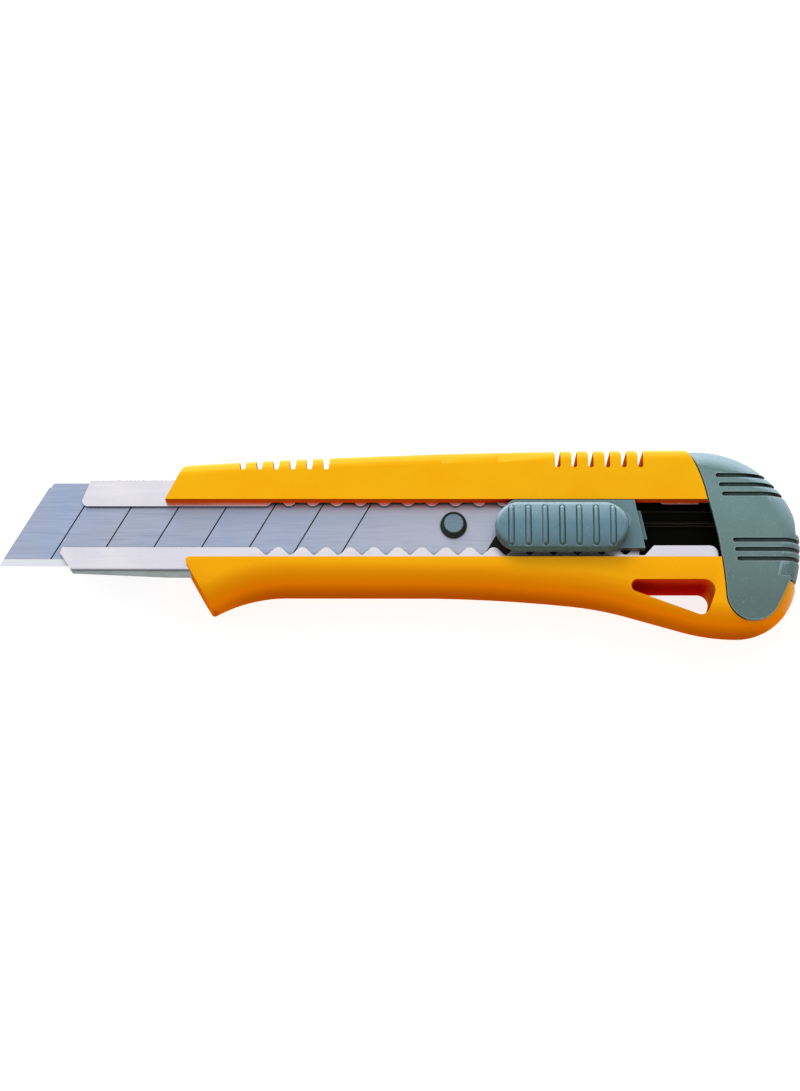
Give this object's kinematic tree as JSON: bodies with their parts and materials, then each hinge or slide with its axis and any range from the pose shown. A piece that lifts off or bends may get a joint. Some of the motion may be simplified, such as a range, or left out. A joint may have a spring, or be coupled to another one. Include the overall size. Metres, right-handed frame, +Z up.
{
  "type": "snap-off knife",
  "caption": "Snap-off utility knife with a sliding segmented blade in a steel channel, a ribbed thumb lock button, an open lanyard hole and a pull-off end cap.",
  "frame": {"origin": "centre of the knife's outline, on the flat of its back", "axes": "+X along the knife from the blade's tip to the end cap, +Y across it from the cutting edge to the spine, +Z up from the back to the thumb button"},
  "size_m": [0.1675, 0.0396, 0.0174],
  "materials": {
    "handle_plastic": "moulded amber-yellow plastic, satin, deeper orange where the grip curves away",
    "channel_steel": "bright rolled stainless sheet with punched edges",
    "guide_plastic": "plain moulded plastic, hidden inside",
    "blade_steel": "blued-grey ground tool steel with a bright ground bevel",
    "carrier_plastic": "moulded plastic",
    "slider_plastic": "dark olive moulded plastic",
    "rivet_steel": "plain steel",
    "spring_steel": "hardened strip",
    "button_plastic": "grey-green moulded plastic, satin",
    "cap_plastic": "grey-green moulded plastic, satin"
  },
  "bodies": {
    "handle": {"handle_body": "handle_plastic", "blade_channel": "channel_steel", "guide_rail": "guide_plastic"},
    "slider": {"blade": "blade_steel", "blade_carrier": "carrier_plastic", "slider_plate": "slider_plastic", "slider_rivets": "rivet_steel", "lock_spring": "spring_steel", "button_spring": "spring_steel"},
    "button": {"thumb_button": "button_plastic"},
    "cap": {"end_cap": "cap_plastic"}
  },
  "joints": [
    {"name": "slider_slide", "type": "slide", "parent": "handle", "child": "slider", "axis": [1, 0, 0], "range_m": [-0.06, 0.015], "deforming": ["lock_spring"]},
    {"name": "button_press", "type": "slide", "parent": "slider", "child": "button", "axis": [0, 0, -1], "range_m": [0, 0.0008], "stiffness_N_per_m": 1500, "springref_m": -0.0005, "deforming": ["button_spring"]},
    {"name": "cap_pull", "type": "slide", "parent": "handle", "child": "cap", "axis": [1, 0, 0], "range_m": [0, 0.02]}
  ]
}
